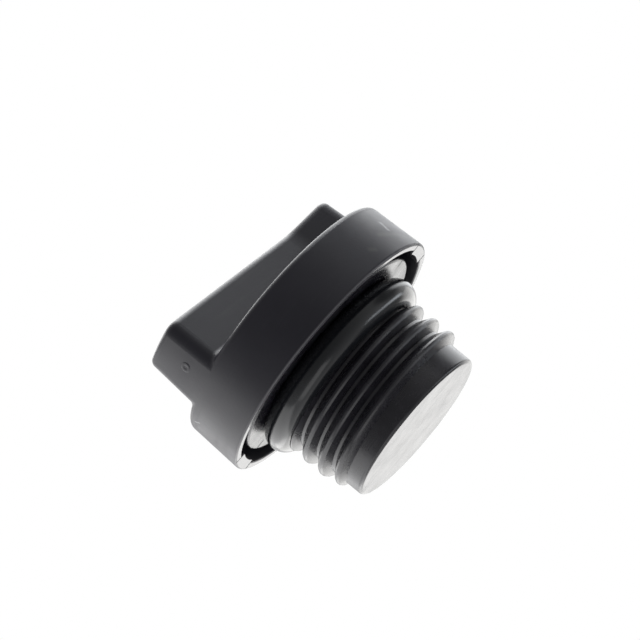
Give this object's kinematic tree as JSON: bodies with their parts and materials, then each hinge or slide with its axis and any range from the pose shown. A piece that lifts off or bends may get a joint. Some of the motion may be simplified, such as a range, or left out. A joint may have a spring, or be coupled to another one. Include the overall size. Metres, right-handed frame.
{
  "type": "screw-in filler cap",
  "caption": "Round screw-in filler cap with a bar grip whose sides each flare out at one end, a smooth drafted skirt, a coarse threaded plug with a closed flat end and a rubber sealing ring under the shoulder.",
  "frame": {"origin": "centre of the flat closed end, on the cap's axis", "axes": "+Z along the cap's axis from the closed end to the grip, +X along the bar grip"},
  "size_m": [0.05, 0.05, 0.041],
  "materials": {
    "head_plastic": "satin black moulded plastic with fine texture",
    "plug_plastic": "smooth black moulded plastic",
    "seal_rubber": "satin black rubber"
  },
  "bodies": {
    "root": {"grip_head": "head_plastic", "threaded_plug": "plug_plastic", "sealing_ring": "seal_rubber"}
  },
  "joints": []
}
